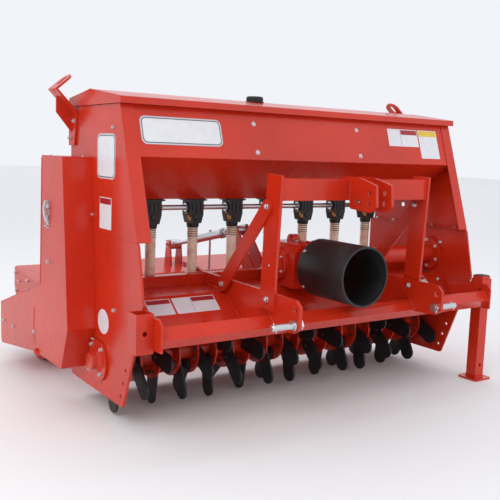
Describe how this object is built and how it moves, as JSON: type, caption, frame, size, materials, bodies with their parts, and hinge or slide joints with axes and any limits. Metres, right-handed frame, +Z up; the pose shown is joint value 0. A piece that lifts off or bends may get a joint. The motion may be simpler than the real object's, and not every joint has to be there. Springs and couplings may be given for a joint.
{
  "type": "tractor-mounted rotary tiller seed drill",
  "caption": "Three-point-mounted seed drill: a rotary tiller carries a long hinged-lid seed hopper with a row of meters and seed tubes, and a rear roller sets the depth.",
  "frame": {"origin": "on the floor, at the centre of the machine's footprint", "axes": "+X across the machine, towards the side with the parking leg; +Y towards the rear roller; +Z up"},
  "size_m": [1.7776, 1.6142, 1.1972],
  "materials": {
    "black_plastic": "satin",
    "blade_steel": "satin",
    "brass_plastic": "satin",
    "hose_beige": "translucent ribbed",
    "red_paint": "gloss",
    "zinc_steel": "satin"
  },
  "bodies": {
    "frame": {"side_plate_left": "red_paint", "side_plate_right": "red_paint", "rotor_hood": "red_paint", "rear_cross_member": "red_paint", "front_beam": "red_paint", "end_brackets": "red_paint", "leg_sockets": "red_paint", "leg_pin": "zinc_steel", "hitch_arm_right": "red_paint", "hitch_arm_left": "red_paint", "hitch_pins": "zinc_steel", "mast_posts": "red_paint", "mast_braces": "red_paint", "mast_crossbar": "red_paint", "top_link_clevis": "red_paint", "gearbox": "red_paint", "pto_shield": "black_plastic", "cross_tube": "red_paint", "side_drive_case": "red_paint", "rotor_bearing": "red_paint", "hopper_end_left": "red_paint", "hopper_end_right": "red_paint", "hopper_front": "red_paint", "hopper_rear": "red_paint", "hopper_trough": "red_paint", "lift_eyes": "red_paint", "seed_meters": "black_plastic", "meter_controls": "brass_plastic", "seed_tubes": "hose_beige", "tube_rail": "red_paint", "seed_drive_cover": "red_paint", "cover_latch": "zinc_steel", "turnbuckle_bracket": "red_paint"},
    "lid": {"hopper_lid": "red_paint", "lid_cap": "black_plastic"},
    "leg": {"parking_leg": "red_paint"},
    "rotor": {"rotor_shaft": "red_paint", "rotor_discs": "red_paint", "rotor_blades": "blade_steel"},
    "pto": {"input_shaft": "zinc_steel"},
    "meters": {"meter_shaft": "zinc_steel"},
    "flap": {"levelling_flap": "red_paint"},
    "roller_carrier": {"roller_frame": "red_paint", "roller_hood": "red_paint", "roller_post": "red_paint"},
    "roller": {"roller_drum": "red_paint"},
    "link_barrel": {"turnbuckle_barrel": "zinc_steel"},
    "link_rod": {"turnbuckle_rod": "zinc_steel"}
  },
  "joints": [
    {"name": "lid_hinge", "type": "hinge", "parent": "frame", "child": "lid", "pos_m": [0.01816, 0.06431, 1.0886], "axis": [-1, 0, 0], "range_deg": [0, 95]},
    {"name": "leg_slide", "type": "slide", "parent": "frame", "child": "leg", "axis": [0, 0, 1], "range_m": [0, 0.25]},
    {"name": "rotor_spin", "type": "hinge", "parent": "frame", "child": "rotor", "pos_m": [0.01816, -0.22769, 0.1925], "axis": [1, 0, 0], "continuous": true},
    {"name": "input_spin", "type": "hinge", "parent": "frame", "child": "pto", "pos_m": [0.01816, -0.52769, 0.517], "axis": [0, 1, 0], "continuous": true},
    {"name": "meter_spin", "type": "hinge", "parent": "frame", "child": "meters", "pos_m": [0.01816, -0.13469, 0.722], "axis": [1, 0, 0], "continuous": true},
    {"name": "flap_hinge", "type": "hinge", "parent": "frame", "child": "flap", "pos_m": [0.01816, -0.02269, 0.305], "axis": [1, 0, 0], "range_deg": [-2, 60]},
    {"name": "roller_frame_pivot", "type": "hinge", "parent": "frame", "child": "roller_carrier", "pos_m": [0.01816, 0.02731, 0.42], "axis": [1, 0, 0], "range_deg": [-6, 8]},
    {"name": "roller_spin", "type": "hinge", "parent": "roller_carrier", "child": "roller", "pos_m": [0.01816, 0.54231, 0.165], "axis": [1, 0, 0], "continuous": true},
    {"name": "turnbuckle_tilt", "type": "hinge", "parent": "frame", "child": "link_barrel", "pos_m": [0.01816, 0.08131, 0.601], "axis": [1, 0, 0], "range_deg": [-8, 10]},
    {"name": "turnbuckle_slide", "type": "slide", "parent": "link_barrel", "child": "link_rod", "axis": [0, 0.975, -0.2223], "range_m": [-0.03, 0.025]}
  ],
  "couplings": [
    {"joint": "input_spin", "follows": "rotor_spin", "ratio": 2.5},
    {"joint": "meter_spin", "follows": "roller_spin", "ratio": 0.8},
    {"joint": "turnbuckle_tilt", "follows": "roller_frame_pivot", "ratio": 1.0204},
    {"joint": "turnbuckle_slide", "follows": "roller_frame_pivot", "m_per_rad": -0.18848}
  ]
}
